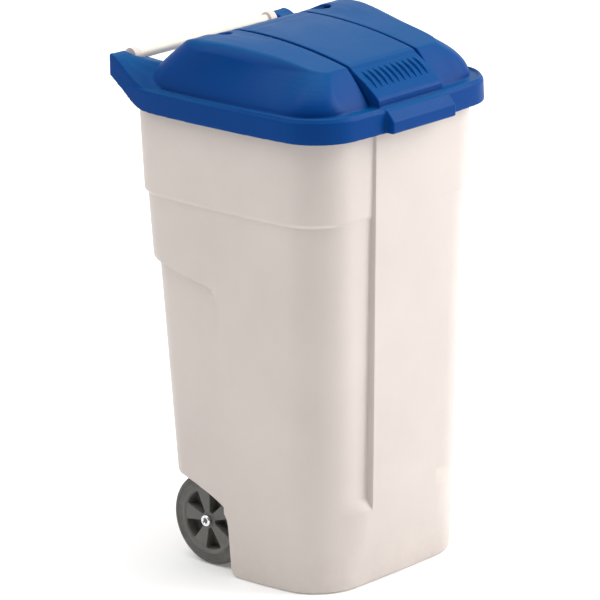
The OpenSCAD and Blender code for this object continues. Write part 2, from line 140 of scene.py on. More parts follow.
BAY_IN = WHEEL_IN - 5.0
HUB_TURN = 24.0
AXLE_R = (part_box("axle")[1][2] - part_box("axle")[0][2]) / 2 / MM

# ---------------------------------------------------------------- small helpers


def mix(a, b, t):
    return a + (b - a) * t


def clamped(t):
    return min(1.0, max(0.0, t))


def smooth(x, width):
    """0 below -width, 1 above width, an S curve between."""
    t = clamped((x + width) / (2 * width))
    return t * t * (3 - 2 * t)


def ease(t):
    """An S curve from 0 at t = 0 to 1 at t = 1."""
    return smooth(t - 0.5, 0.5)


def arc(cx, cy, r, start, count):
    """Points of a quarter turn, anticlockwise from start degrees."""
    return [(cx + r * math.cos(math.radians(start + 90 * i / count)),
             cy + r * math.sin(math.radians(start + 90 * i / count))) for i in range(count + 1)]


FINE = (-6.0, -4.2, -3.0, -2.1, -1.4, -0.8, -0.3, 0.3, 0.8, 1.4, 2.1, 3.0, 4.2, 6.0)


def stations(a, b, marks, gaps):
    """Places from a to b, both left out: fine round each mark, and even between them."""
    out, edge, way = [], a, 1 if b > a else -1
    for mark, count in zip(marks, gaps):
        lo = mark - way * FINE[-1]
        out += [mix(edge, lo, i / count) for i in range(1, count)]
        out += [mark + way * f for f in FINE]
        edge = mark + way * FINE[-1]
    return out + [mix(edge, b, i / gaps[-1]) for i in range(1, gaps[-1])]


def outline(half, front, rear, rf, rr, fmarks=(), smarks=(), bmarks=(), gaps=(9, 9), corner=14):
    """A rounded plan outline, anticlockwise from the front left corner."""
    c1 = arc(-half + rf, front + rf, rf, 180, corner)
    c2 = arc(half - rf, front + rf, rf, 270, corner)
    c3 = arc(half - rr, rear - rr, rr, 0, corner)
    c4 = arc(-half + rr, rear - rr, rr, 90, corner)
    many = lambda marks: (gaps[0],) + (gaps[1],) * len(marks)
    fx = stations(c1[-1][0], c2[0][0], fmarks, many(fmarks))
    sy = stations(c2[-1][1], c3[0][1], smarks, many(smarks))
    bx = stations(c3[-1][0], c4[0][0], bmarks, many(bmarks))
    ly = stations(c4[-1][1], c1[0][1], smarks[::-1], many(smarks)[::-1])
    return (c1 + [(x, front) for x in fx] + c2 + [(half, y) for y in sy]
            + c3 + [(x, rear) for x in bx] + c4 + [(-half, y) for y in ly])


def bowed(pts, half, front, rear, side, fore):
    """The sides pushed out by side and the front by fore, most at their middles."""
    mid, span = (front + rear) / 2, (rear - front) / 2
    out = []
    for x, y in pts:
        push = fore * (mid - y) / span * (1 - (x / half) ** 2) if y < mid else 0.0
        out.append((x + side * x / half * (1 - ((y - mid) / span) ** 2), y - push))
    return out


def make(name, pts, faces):
    """A mesh object from drawing points in mm."""
    mesh = bpy.data.meshes.new(name)
    mesh.from_pydata([(x * MM, (y + SHIFT) * MM, z * MM) for x, y, z in pts], [], faces)
    mesh.validate()
    obj = bpy.data.objects.new(name, mesh)
    bpy.context.scene.collection.objects.link(obj)
    bm = bmesh.new()
    bm.from_mesh(mesh)
    bmesh.ops.recalc_face_normals(bm, faces=bm.faces)
    bm.to_mesh(mesh)
    bm.free()
    return obj


def loft(name, rings):
    """A closed skin over rings of equal length."""
    n = len(rings[0])
    pts = [p for ring in rings for p in ring]
    faces = [list(range(n)), [(len(rings) - 1) * n + i for i in range(n)]]
    for k in range(len(rings) - 1):
        for i in range(n):
            a, b = k * n + i, k * n + (i + 1) % n
            faces.append([a, b, b + n, a + n])
    return make(name, pts, faces)


def prism(name, x0, x1, pts):
    """A side view outline of (y, z) points, from x0 to x1."""
    return loft(name, [[(x, y, z) for y, z in pts] for x in (x0, x1)])


def rod(name, x0, x1, y, z, r, count=64, edge=0.0):
    """A cylinder along X with rounded ends."""
    way = 1 if x1 > x0 else -1
    rows = [(x0, r - edge), (x0 + way * edge * 0.3, r - edge * 0.3), (x0 + way * edge, r),
            (x1 - way * edge, r), (x1 - way * edge * 0.3, r - edge * 0.3), (x1, r - edge)]
    if not edge:
        rows = [(x0, r), (x1, r)]
    return loft(name, [[(x, y + q * math.cos(2 * math.pi * i / count),
                         z + q * math.sin(2 * math.pi * i / count)) for i in range(count)]
                       for x, q in rows])


def box_solid(name, lo, hi):
    return loft(name, [[(lo[0], lo[1], z), (hi[0], lo[1], z), (hi[0], hi[1], z), (lo[0], hi[1], z)]
                       for z in (lo[2], hi[2])])


def apply_modifiers(obj):
    dg = bpy.context.evaluated_depsgraph_get()
    mesh = bpy.data.meshes.new_from_object(obj.evaluated_get(dg))
    old = obj.data
    obj.modifiers.clear()
    obj.data = mesh
    bpy.data.meshes.remove(old)


def combine(obj, how, *others):
    """obj joined with, or cut by, other solids, which are used up."""
    for other in others:
        mod = obj.modifiers.new("combine", "BOOLEAN")
        mod.operation, mod.object, mod.solver = how, other, "MANIFOLD"
    apply_modifiers(obj)
    for other in others:
        bpy.data.objects.remove(other)
    return obj


def cut(obj, *others):
    return combine(obj, "DIFFERENCE", *others)


def join(obj, *others):
    return combine(obj, "UNION", *others)


def mirrored(maker, *args):
    """The solid maker gives, and its mirror image across the middle."""
    a = maker(*args)
    b = maker(*args)
    for v in b.data.vertices:
        v.co.x = -v.co.x
    b.data.flip_normals()
    return a, b


def remeshed(obj, voxel, rounds, factor=0.5):
    """One even skin with its edges softened."""
    mod = obj.modifiers.new("remesh", "REMESH")
    mod.mode, mod.voxel_size, mod.use_smooth_shade = "VOXEL", voxel * MM, True
    mod = obj.modifiers.new("soften", "SMOOTH")
    mod.factor, mod.iterations = factor, rounds
    apply_modifiers(obj)
    return obj


def shade(obj, angle):
    """Smooth shading, sharp only where faces meet at more than angle degrees."""
    mesh = obj.data
    mesh.shade_smooth()
    mesh.set_sharp_from_angle(angle=math.radians(angle))


# ---------------------------------------------------------------- body


def body_plan(z):
    """(half width, front, rear) of the outer skin at height z, with the rounded step."""
    low = [mix(a, b, z / STEP_Z) for a, b in zip(BASE, MID)]
    above = [m + s for m, s in zip(MID, STEP_OUT)]
    high = [mix(a, b, (z - STEP_Z) / (RIM_Z - STEP_Z)) for a, b in zip(above, RIM)]
    t = smooth(z - (STEP_Z - 3.0), 4.0)
    return [mix(a, b, t) for a, b in zip(low, high)]


def bow_at(z):
    """Outward bow of the body's sides at height z: more at the foot."""
    return mix(FOOT_BOW, SIDE_BOW, clamped(z / STEP_Z))


def recess_top(y):
    """Height of the recess's slanting upper edge, rounding down into its front edge."""
    top = RECESS_TOP_Z + (y - RECESS_TOP_Y) * RECESS_SLANT
    if y < RECESS_Y + RECESS_CORNER:
        d = clamped((RECESS_Y + RECESS_CORNER - y) / RECESS_CORNER)
        top -= RECESS_CORNER * (1 - math.sqrt(max(0.0, 1 - d * d)))
    return top


def panel_depth(z):
    """How far the front panel stands in front of the body's front at height z."""
    (z0, y0), (z1, y1) = PANEL_LOW, PANEL_HIGH
    return body_plan(z)[1] - FRONT_BOW - (y0 + (y1 - y0) * (z - z0) / (z1 - z0))


def body_ring(z, inset, zout):
    """One ring of the body's skin, drawn in by inset, with the recess and the panel."""
    def ring(t):
        half, front, rear = body_plan(z)
        half, front, rear = half - t, front + t, rear - t
        pts = outline(half, front, rear, CORNER_R - t / 2, REAR_R - t / 2,
                      fmarks=(-PANEL_HALF, PANEL_HALF), smarks=(RECESS_Y,),
                      bmarks=(RECESS_X, -RECESS_X), gaps=(7, 9))
        return bowed(pts, half, front, rear, bow_at(z), FRONT_BOW)

    lip = clamped((PANEL_LOW[0] - z) / (PANEL_LOW[0] - PANEL_POINT_Z))
    depth = panel_depth(z) * (1 - smooth(z - PANEL_HIGH[0], 6.0))
    out = []
    for (x, y), (xr, yr) in zip(ring(inset), ring(inset + RECESS_D)):
        t = (smooth(y - RECESS_Y, 2.6) * smooth(abs(x) - RECESS_X, 4.0)
             * smooth(recess_top(y) - z, 3.0))
        x, y = mix(x, xr, t), mix(y, yr, t)
        if y < -100 and abs(x) < 140:
            inside = smooth(PANEL_HALF - abs(x), 1.3)
            beside = smooth(PANEL_FADE_X - abs(x), 26.0) * lip
            fade = 1 - smooth(PANEL_LOW[0] / 2 - z, PANEL_LOW[0] / 2)
            y -= depth * mix(beside, 1.0, inside) * fade
        out.append((x, y, zout))
    return out


def rows(a, b, step):
    """Even heights from a to b, about step apart."""
    n = max(1, round((b - a) / step))
    return [mix(a, b, i / n) for i in range(n + 1)]


def body_skin():
    """The outer skin: rounded foot, close rows where edges need them, rolled rim."""
    levels = (rows(FOOT_R, 60, 18)[:-1] + rows(60, 118, 14)[:-1] + rows(118, 152, 2.4)[:-1]
              + rows(152, 430, 25)[:-1] + rows(430, 506, 2.2)[:-1] + rows(506, 586, 20)[:-1]
              + rows(586, 602, 1.2)[:-1] + rows(602, 726, 25)[:-1] + rows(726, 746, 3)[:-1])
    rings = [body_ring(0, FOOT_R * (1 - math.sin(a)), FOOT_R * (1 - math.cos(a)))
             for a in [math.radians(d) for d in (0, 15, 30, 45, 60, 75)]]
    rings += [body_ring(z, 0, z) for z in levels]
    bead = 3.2
    for k in range(9):
        a = math.radians(-90 + 180 * k / 8)
        rings.append(body_ring(RIM_Z, -bead * math.cos(a), RIM_Z - bead + bead * math.sin(a)))
    return loft("body_shell", rings)


def body_hollow():
    """The inside of the body, less the walls over the wheel bays and the raised floor."""
    levels = [6, 12, 60, 118, 130, 140, 152, 300, 430, 440, 450, 460, 470, 480, 490, 500, 560,
              588, 592, 596, 600, 660, 720, 740, RIM_Z]
    rings = [body_ring(max(z, 12), WALL + (FOOT_R if z == 6 else 0), z) for z in levels]
    rings.append(body_ring(RIM_Z, WALL, RIM_Z + 8))
    hollow = loft("hollow", rings)
    keep = list(mirrored(bay, BAY_R + WALL, -260, -BAY_IN + WALL))
    keep += list(mirrored(prism, "arch_keep", -260, -BAY_IN + WALL, [
        (AXLE_Y, -20), (AXLE_Y, AXLE_Z + BAY_R + WALL), (240, AXLE_Z + BAY_R + WALL + 6),
        (240, -20)]))
    keep.append(prism("floor_keep", -260, 260, [
        (AXLE_Y - BAY_R - WALL, -20), (AXLE_Y - BAY_R - WALL, FLOOR_Z), (98, FLOOR_Z), (124, 114),
        (140, 144), (240, 160), (240, -20)]))
    return cut(hollow, *keep)


def bay(r, x0, x1):
    """Room for a wheel: a drum open downwards."""
    drum = [(AXLE_Y + r * math.cos(math.radians(a)), AXLE_Z + r * math.sin(math.radians(a)))
            for a in range(0, 181, 5)]
    return prism("bay", x0, x1, drum + [(AXLE_Y - r, -20), (AXLE_Y + r, -20)])


# the arch's edge in side view, as (y, z): its turned-in foot, then the curve up to the rear
ARCH_FOOT = [(-15.0, -20.0), (-12.0, -3.0), (-5.0, 0.5), (0.5, 5.0)]
ARCH = [(3.5, 13.0), (5.4, 47.0), (7.2, 74.0), (9.6, 90.0), (15.5, 100.5), (24.0, 107.5),
        (40.5, 115.5), (55.3, 121.8), (72.3, 127.0), (91.5, 133.0), (146.0, 145.0), (230.0, 159.0)]


def curve_through(pts, count):
    """A smooth line through points, count steps between each two."""
    out = []
    for i in range(len(pts) - 1):
        p0, p1, p2, p3 = pts[max(i - 1, 0)], pts[i], pts[i + 1], pts[min(i + 2, len(pts) - 1)]
        for k in range(count):
            t = k / count
            out.append(tuple(0.5 * (2 * b + (c - a) * t + (2 * a - 5 * b + 4 * c - d) * t * t
                                    + (3 * b - a - 3 * c + d) * t ** 3)
                             for a, b, c, d in zip(p0, p1, p2, p3)))
    return out + [pts[-1]]


def arch_cutter():
    """The arch opening on the left, with a rounded mouth that follows the side's taper."""
    line = ARCH_FOOT + curve_through(ARCH, 6)
    normals = []
    for i, p in enumerate(line):
        a, b = line[max(i - 1, 0)], line[min(i + 1, len(line) - 1)]
        dy, dz = b[0] - a[0], b[1] - a[1]
        size = math.hypot(dy, dz)
        normals.append((-dz / size, dy / size))
    mouth_r = 3.5
    rings = []
    turns = [math.radians(a) for a in range(0, 91, 15)]
    depths = [(-40.0, mouth_r)] + [(mouth_r * (1 - math.cos(a)), mouth_r * (1 - math.sin(a)))
                                   for a in turns] + [(None, 0.0)]
    for depth, grow in depths:
        ring = []
        for (y, z), (ny, nz) in zip(line, normals):
            yy, zz = y + ny * grow, z + nz * grow
            half, front, rear = body_plan(max(zz, 0))
            mid, span = (front + rear) / 2, (rear - front) / 2
            side = half + bow_at(zz) * max(0.0, 1 - ((yy - mid) / span) ** 2)
            if yy > RECESS_Y:
                side -= RECESS_D * smooth(yy - RECESS_Y, 2.6)
            ring.append((-BAY_IN if depth is None else -side + depth, yy, zz))
        ring += [(ring[-1][0], 260.0, 150.0), (ring[-1][0], 260.0, -20.0)]
        rings.append(ring)
    return loft("arch", rings)


def under_pocket():
    """The open space between the wheel bays, round the axle and its two bosses."""
    web, boss_r, boss_l = 4.0, 13.0, 22.0
    pocket = prism("pocket", -BAY_IN + web, BAY_IN - web, [
        (AXLE_Y - BAY_R, -20), (AXLE_Y - BAY_R, FLOOR_Z - WALL),
        (BASE[2] - WALL + 1, FLOOR_Z - WALL), (BASE[2] - WALL - 2, -20)])
    boss = mirrored(rod, "boss", -BAY_IN, -BAY_IN + boss_l, AXLE_Y, AXLE_Z, boss_r)
    return cut(pocket, *boss)


def handle_arm():
    """The left arm that holds one end of the bar."""
    leg = [(BAR_Y - 8, BAR_Z), (BAR_Y - 17, RIM_Z + 4), (RIM[2] - 3, RIM_Z - 8), (RIM[2] - 4, 716),
           (RIM[2] + 8, 738), (BAR_Y + 6, BAR_Z - 26), (BAR_Y + 11, BAR_Z - 6)]
    arm = join(prism("arm", -ARM_OUT, -ARM_IN, leg),
               rod("eye", -ARM_OUT, -ARM_IN, BAR_Y, BAR_Z, BAR_R + 4, 48))
    cut(arm, rod("socket", -ARM_IN - 7, -ARM_IN + 1, BAR_Y, BAR_Z, BAR_R, 48),
        rod("bore", -ARM_OUT - 1, -ARM_IN, BAR_Y, BAR_Z, PIN_R, 32))
    return arm


# what the raised rear edge takes from the body, as (y, z), and the drain hole
LIFT = [(60, -20), (60, 4), (92, 30), (116, 90), (134, 126), (150, 142), (260, 160), (260, -20)]
DRAIN_Y, DRAIN_R = -80.0, 11.0


def drain():
    return loft("drain", [[(DRAIN_R * math.cos(a / 24 * math.tau),
                            DRAIN_Y + DRAIN_R * math.sin(a / 24 * math.tau), z)
                           for a in range(24)] for z in (-1, 11)])


def build_body():
    """The beige moulding as one piece."""
    body = body_skin()
    cut(body, body_hollow())
    cut(body, *mirrored(arch_cutter), *mirrored(bay, BAY_R, -WHEEL_OUT - 1, -BAY_IN))
    cut(body, under_pocket(), rod("bore", -BAY_IN - 1, BAY_IN + 1, AXLE_Y, AXLE_Z, AXLE_R))
    cut(body, prism("lift", -260, 260, LIFT), drain())
    join(body, *mirrored(handle_arm))
    shade(body, 32)
    return body


# ---------------------------------------------------------------- lid


def crown(y):
    """Height of the lid's crest line along its length."""
    if y < CREST_Y:
        fall, reach = CREST_FALL
        return CREST_Z - fall * ((CREST_Y - y) / reach) ** 2
    fall, flat, reach = REAR_FALL
    return CREST_Z - fall * (max(0.0, y - CREST_Y - flat) / reach) ** 2


def lid_ring(half, front, rear, rf, rr, side, fore, z):
    """One ring of the lid's rim, drawn in a little at the rear to meet the ears' faces."""
    ear_y, reach, share = 118, 78, 0.0225
    pts = bowed(outline(half, front, rear, rf, rr, gaps=(24, 24)), half, front, rear, side, fore)
    return [(x * (1 - share * (max(0.0, y - ear_y) / reach) ** 2), y, z) for x, y in pts]


def skirt(t, z0, z1, rear, crown_r):
    """The lid's skirt and flange, drawn in by t, with a rounded upper edge."""
    half, front = LID_HALF - t, LID_FRONT + t
    rings = [lid_ring(half, front, rear, CORNER_R - t, 8, SIDE_BOW, LID_BOW, z0)]
    for d in (0, 18, 36, 54, 72, 90):
        a = math.radians(d)
        inset, drop = crown_r * (1 - math.cos(a)), crown_r * (1 - math.sin(a))
        rings.append(lid_ring(half - inset - 0.8, front + inset + 0.8, rear, CORNER_R - t - inset, 8,
                              SIDE_BOW, LID_BOW, z1 - drop))
    return loft("skirt", rings)


def dome_top(x, y):
    """Height of the nearly flat top of the domes, a little higher at its outer rear."""
    return crown(y) + 3.0 * ease((y + 60) / 100) * ease((abs(x) - 85) / 50)


def crease_drop(y):
    """How far the crease round a dome lies below its top."""
    return 1.5 + 12.5 * ease((y + 160) / 90) * (1 - ease((y - 50) / 50))


def dome_plan(d):
    """The crease in plan, drawn in by d: it narrows towards the front."""
    pts = outline(CREASE_HALF - d, CREASE_FRONT + d, CREASE_REAR - d,
                  max(8, CREASE_R[0] - d * 0.3), max(12, CREASE_R[1] - d), gaps=(24, 24))
    return [(x * (1 - CREASE_TAPER * max(0.0, CREASE_TAPER_Y - y) / CREASE_HALF), y)
            for x, y in pts]


def dome(t):
    """Both domes as one form: foot, sloping side, crease, rounded shoulder, top."""
    half, front, rear = DOME_HALF - t, DOME_FRONT + t, DOME_REAR - t
    foot = bowed(outline(half, front, rear, DOME_R[0] - t, DOME_R[1] - t, gaps=(24, 24)),
                 half, front, rear, SIDE_BOW, 3)
    crease, inner = dome_plan(t), dome_plan(t + SHOULDER)
    rings = [[(x, y, FLANGE_Z - 8 - t * 3) for x, y in foot]]
    steps = 9
    for k in range(steps + 1):
        ring = []
        for (fx, fy), (x, y) in zip(foot, crease):
            bulge = ease((abs(fx) - 120) / 45) * ease((-115 - fy) / 55)
            s = (k / steps) ** mix(1.25, 2.0, bulge)
            ring.append((mix(fx, x, s), mix(fy, y, s),
                         mix(FLANGE_Z + 1, dome_top(x, y) - crease_drop(y), k / steps) - t))
        rings.append(ring)
    for q in (0.1, 0.22, 0.4, 0.65, 1.0):
        ring = []
        for (x, y), (ix, iy) in zip(crease, inner):
            drop = crease_drop(y)
            k = q * (1.2 * drop + 3) / SHOULDER
            px, py = mix(x, ix, k), mix(y, iy, k)
            ring.append((px, py, dome_top(px, py) - drop * (1 - q) ** 2.2 - t))
        rings.append(ring)
    rings += [[(x, y, dome_top(x, y) - t) for x, y in dome_plan(t + d)] for d in (28, 45, 66, 88)]
    rings.append([(x * 0.2, y * 0.94, crown(y * 0.94) - t) for x, y in dome_plan(t + 88)])
    return loft("dome", rings)


def spine_line(t):
    """Side view of the centre spine: steep rear, crisp crest, long crown, sloping grip pad, lip."""
    return ([(DOME_REAR - t, FLANGE_Z - 5 - t * 3), (DOME_REAR - t, FLANGE_Z - t), (150 - t, 779 - t),
             (100 - t, 806 - t), (62 - t, 832 - t)]
            + [(y, crown(y) + 0.6 - t) for y in range(43, -156, -9)]
            + [(-172, 810.5 - t), (-190 + t * 0.6, 799.5 - t), (-205 + t, 788 - t),
               (-215 + t, 779.5 - t), (-218.5 + t, 775 - t), (-218.5 + t, FLANGE_Z - 5 - t * 3)])


def groove(w, d):
    """The band one groove takes away, for the left side."""
    line = ([(y, crown(y) - GROOVE_D) for y in range(132, -156, -8)]
            + [(-164, 809), (-178, 786), (-190, 760), (-260, 760), (-260, 900), (132, 900)])
    return prism("groove", -SPINE_HALF - GROOVE_W - w, -SPINE_HALF + w,
                 [(y, z - d) for y, z in line])


def scallop(drop):
    """An oval hollow at the rear of a dome, beside the groove."""
    count, x0, y0, z0, half_x, half_y = 40, -112, 66, 836.0, 16, 20
    return loft("scallop", [[(x0 + half_x * k * math.cos(i / count * math.tau),
                              y0 + half_y * k * math.sin(i / count * math.tau), z0 + h - drop)
                             for i in range(count)]
                            for h, k in ((0.0, 0.5), (1.2, 0.8), (5.0, 0.95), (30.0, 1.1))])


# stations of a rear ear: y, lower edge, outer top, ridge, outer face
EARS = [(118, 0, 0, 8, 205), (130, 0, 0.3, 24, 204.5), (140, 0.6, 1, 31, 204.2),
        (150, 2, 3, 34, 203.8), (160, 5.5, 7.5, 34, 203.3), (170, 10.5, 13, 34, 202.8),
        (180, 16.5, 19.5, 34.5, 202.2), (190, 23.5, 27, 35.5, 201.5), (200, 30, 34.5, 37.2, 200.6),
        (208, 35.5, 39, 39.4, 199.8), (214, 39.5, 41, 40.5, 199), (EAR_REAR, 43, 42, 41.5, 198)]


def ear_ring(s, t, low):
    """The ear's section at one station, its skin drawn in by t and its foot lowered by low."""
    y, lift, outer, ridge, face = s
    side = -face + t
    top, crest = FLANGE_Z + outer - t, FLANGE_Z + ridge - t
    return [(side, y, SKIRT_Z + lift - low), (side, y, mix(SKIRT_Z + lift, top, 0.5)),
            (side, y, top - 1.6), (side + 0.5, y, top - 0.5), (side + 1.6, y, top),
            (mix(side, -EAR_IN, 0.35), y, mix(top, crest, 0.42)),
            (mix(side, -EAR_IN, 0.7), y, mix(top, crest, 0.8)),
            (-EAR_IN - 3 - t, y, crest), (-EAR_IN - 0.8 - t, y, crest - 0.8),
            (-EAR_IN - t, y, crest - 3), (-EAR_IN - t, y, FLANGE_Z - 6 - low)]


def ear_outer():
    return loft("ear", [ear_ring(s, 0, 0) for s in EARS])


def ear_inner():
    """The hollow of the left ear, which leaves its rear end wall standing."""
    rings = [ear_ring(s, LID_WALL, 30) for s in EARS[:-1]]
    rings.append([(x, y - 3.5, z) for x, y, z in ear_ring(EARS[-1], LID_WALL, 30)])
    return loft("ear_hollow", rings)


# the ramp beside the ear: x, share of the ridge's height
RAMP_SPAN = [(-EAR_IN - 2.5, 0.96), (-EAR_IN, 1.0), (-157, 0.97), (-142, 0.86), (-128, 0.70),
             (-113, 0.53), (-92, 0.28), (-74, 0.09), (-60, 0.0)]


def ear_ramp(t):
    """The slope that joins an ear's ridge to the flat rear flange."""
    rings = []
    for y, _, _, up, _ in [s for s in EARS if s[0] < LID_REAR] + [(LID_REAR, 0, 0, 36.4, 0)]:
        low, base = FLANGE_Z - 5 - t * 3, FLANGE_Z - t
        rings.append([(RAMP_SPAN[0][0], y, low)] + [(x, y, base + up * k) for x, k in RAMP_SPAN]
                     + [(RAMP_SPAN[-1][0], y, low)])
    return loft("ramp", rings)


def swoop():
    """What is cut away under the ears, so that the skirt sweeps up into them."""
    line = [(y, SKIRT_Z + lift) for y, lift, _, _, _ in EARS]
    return prism("swoop", -260, 260, line + [(260, line[-1][1]), (260, 640), (line[0][0], 640)])


def notch():
    """Room for a handle arm in the rear flange."""
    return box_solid("notch", (-ARM_OUT - 2, 189, SKIRT_Z), (-ARM_IN + 2, 250, SKIRT_Z + 100))


# the front grip tab in side view, and its hollow
TAB = [(-222, SKIRT_Z), (-243.5, SKIRT_Z), (-245.4, SKIRT_Z + 1), (TAB_FRONT, SKIRT_Z + 3.5),
       (TAB_FRONT, SKIRT_Z + 17), (-245, SKIRT_Z + 20), (-243, SKIRT_Z + 22), (-233, FLANGE_Z - 1),
       (-230, FLANGE_Z + 0.5), (-205, FLANGE_Z + 0.5)]
TAB_HOLLOW = [(-200, SKIRT_Z - 5), (-242.5, SKIRT_Z - 5), (-242.5, SKIRT_Z + 15),
              (-231, FLANGE_Z - LID_WALL - 1), (-200, FLANGE_Z - LID_WALL - 1)]


def bead():
    """The fine raised edge that runs round the flange."""
    def ring(inset, z):
        return lid_ring(LID_HALF - inset, LID_FRONT + inset, 120, CORNER_R - inset, 8, SIDE_BOW,
                        LID_BOW, z)
    outer = loft("bead", [ring(4.5, FLANGE_Z - 3), ring(4.5, FLANGE_Z + 1.5),
                          ring(5.4, FLANGE_Z + 2.7), ring(6.4, FLANGE_Z + 2.9)])
    return cut(outer, loft("bead_in", [ring(9.0, FLANGE_Z - 6), ring(9.0, FLANGE_Z + 4)]))


def pad_ribs():
    """The ten leaning ribs of the grip pad, each a slim rounded bar lying on the slope."""
    count, half_span, steps = 10, 58.0, 10
    (y0, z0), (y1, z1) = (-171.0, 811.0), (-202.0, 790.3)
    around = [j / 12 * math.tau for j in range(12)]
    ribs = []
    for i in range(count):
        x = mix(-half_span, half_span, i / (count - 1))
        rings = []
        for k in range(steps + 1):
            s = k / steps
            arch = math.sin(s * math.pi)
            y, z = mix(y0, y1, s), mix(z0, z1, s) + 1.4 * arch
            swell = math.sin(math.pi * min(max(s, 0.03), 0.97))
            width = 2.9 * math.sqrt(max(0.05, swell))
            height = 3.0 * math.sqrt(max(0.04, swell))
            rings.append([(x + 2.0 * arch + width * math.cos(a), y - 0.5 * height * math.sin(a),
                           z + height * math.sin(a)) for a in around])
        ribs.append(loft("rib", rings))
    return ribs


def build_lid():
    """The blue moulding as one piece: outer form, then the hollow under it, then the ribs."""
    lid = skirt(0, SKIRT_Z, FLANGE_Z, LID_REAR, 4.5)
    form = dome(0)
    cut(form, *mirrored(groove, 0, 0), *mirrored(scallop, 0))
    join(lid, form, prism("spine", -SPINE_HALF, SPINE_HALF, spine_line(0)), *mirrored(ear_outer),
         *mirrored(ear_ramp, 0), prism("tab", -TAB_HALF, TAB_HALF, TAB), bead())
    cut(lid, swoop())
    under = skirt(LID_WALL, SKIRT_Z - 30, FLANGE_Z - LID_WALL, LID_REAR - LID_WALL, 3)
    form = dome(LID_WALL)
    cut(form, *mirrored(groove, LID_WALL, LID_WALL), *mirrored(scallop, LID_WALL))
    cut(lid, under, form,
        prism("spine_in", -SPINE_HALF + LID_WALL, SPINE_HALF - LID_WALL, spine_line(LID_WALL)),
        box_solid("rear_gap", (-194, 120, SKIRT_Z - 30), (194, 320, FLANGE_Z - LID_WALL)),
        *mirrored(ear_inner), *mirrored(ear_ramp, LID_WALL),
        prism("tab_in", -TAB_HALF + LID_WALL, TAB_HALF - LID_WALL, TAB_HOLLOW),
        *mirrored(notch),
        *mirrored(rod, "pin_bore", -EAR_IN - 10, -EAR_IN + 5, BAR_Y, BAR_Z, PIN_R + 0.6, 32))
    remeshed(lid, 1.3, 5)
    join(lid, *pad_ribs())
    lid.name = "lid_moulding"
    shade(lid, 60)
    return lid


# ---------------------------------------------------------------- wheels and bar


def lathe(name, x0, profile, y, z, count=96):
    """A closed (radius, x) profile turned round the line through y and z, x measured from x0."""
    n = len(profile)
    pts = []
    for j in range(count):
        a = j / count * math.tau
        pts += [(x0 + x, y + r * math.cos(a), z + r * math.sin(a)) for r, x in profile]
    faces = [[j * n + i, j * n + (i + 1) % n, (j + 1) % count * n + (i + 1) % n,
              (j + 1) % count * n + i] for j in range(count) for i in range(n)]
    return make(name, pts, faces)


def build_tyre():
    """The left tyre: flat sidewalls with a fine ring, rounded shoulders, a crowned tread."""
    width, r = WHEEL_OUT - WHEEL_IN - 2, TYRE_R
    half = [(SEAT_R, 0.0), (SEAT_R + 0.8, 0.0), (SEAT_R + 1.6, 0.6), (r - 9.0, 0.6), (r - 8.4, 0.0)]
    half += [(r - 6.5 + 6.0 * math.sin(a), 0.2 + 6.5 * (1 - math.cos(a)))
             for a in [math.radians(d) for d in range(0, 91, 10)]]
    half += [(r, width / 2 - 1.5)]
    profile = half + [(q, width - x) for q, x in half[::-1]]
    return lathe("tyre", -WHEEL_OUT + 1, profile, AXLE_Y, AXLE_Z)


def window(turn):
    """One wedge-shaped pocket of the hub, with rounded corners, turned by an angle in degrees."""
    outer, spread, depth = SEAT_R - 6.8, 19.5, 21
    corner = [(outer, spread - 5), (outer, spread - 2.2), (outer - 1.2, spread - 0.5),
              (outer - 4.2, spread)]
    side = [(q * math.sin(math.radians(g)), q * math.cos(math.radians(g))) for q, g in corner]
    side += [(3.6, 14.6), (2.4, 13.2)]
    top = [(outer * math.sin(math.radians(g)), outer * math.cos(math.radians(g)))
           for g in (-8, -4, 0, 4, 8)]
    pts = [(-x, r) for x, r in side[::-1]] + top + side
    c, s = math.cos(math.radians(turn)), math.sin(math.radians(turn))
    return prism("window", -WHEEL_OUT - 2, -WHEEL_OUT + depth,
                 [(AXLE_Y + x * c - r * s, AXLE_Z + x * s + r * c) for x, r in pts])


def build_hub():
    """The left hub: rim, recessed disc with five pockets, centre boss, as one moulding."""
    width = WHEEL_OUT - WHEEL_IN
    rim, boss, bore = SEAT_R - 5.0, 10.8, 9.0
    profile = [(bore, 0.4), (bore + 0.4, 0.0), (boss - 0.6, 0.0), (boss, 0.6), (boss + 1.2, 2.0),
               (rim - 1.2, 2.0), (rim, 0.8), (rim + 1.0, 0.2), (SEAT_R - 0.6, 0.2), (SEAT_R, 0.8),
               (SEAT_R, width - 1), (SEAT_R - 1, width), (bore, width)]
    hub = lathe("hub", -WHEEL_OUT, profile, AXLE_Y, AXLE_Z)
    cut(hub, *[window(HUB_TURN + 360 * i / 5) for i in range(5)])
    remeshed(hub, 0.8, 3)
    return hub


def build_cap():
    """The left retaining cap: a bright pressed ring with a deep centre."""
    steps = [math.radians(d) for d in range(0, 181, 15)]
    r, ring, depth, proud = 6.8, 2.6, 7.0, 7.3
    profile = [(r + ring * math.cos(a), 3.6 - 2.9 * math.sin(a)) for a in steps]
    profile += [(r - ring, depth), (r + ring, depth)]
    return lathe("cap", -WHEEL_OUT - proud, profile, AXLE_Y, AXLE_Z, 64)


def other_side(obj, name):
    """A mirror image of a left piece for the right side."""
    twin = obj.copy()
    twin.data = obj.data.copy()
    twin.name = name
    for v in twin.data.vertices:
        v.co.x = -v.co.x
    twin.data.flip_normals()
    bpy.context.scene.collection.objects.link(twin)
    return twin


def build_bar():
    """The cream bar, its ends drawn in a little where they enter the arms."""
    return rod("grip_bar", -BAR_END, BAR_END, BAR_Y, BAR_Z, BAR_R, 64, 1.2)


# ---------------------------------------------------------------- materials


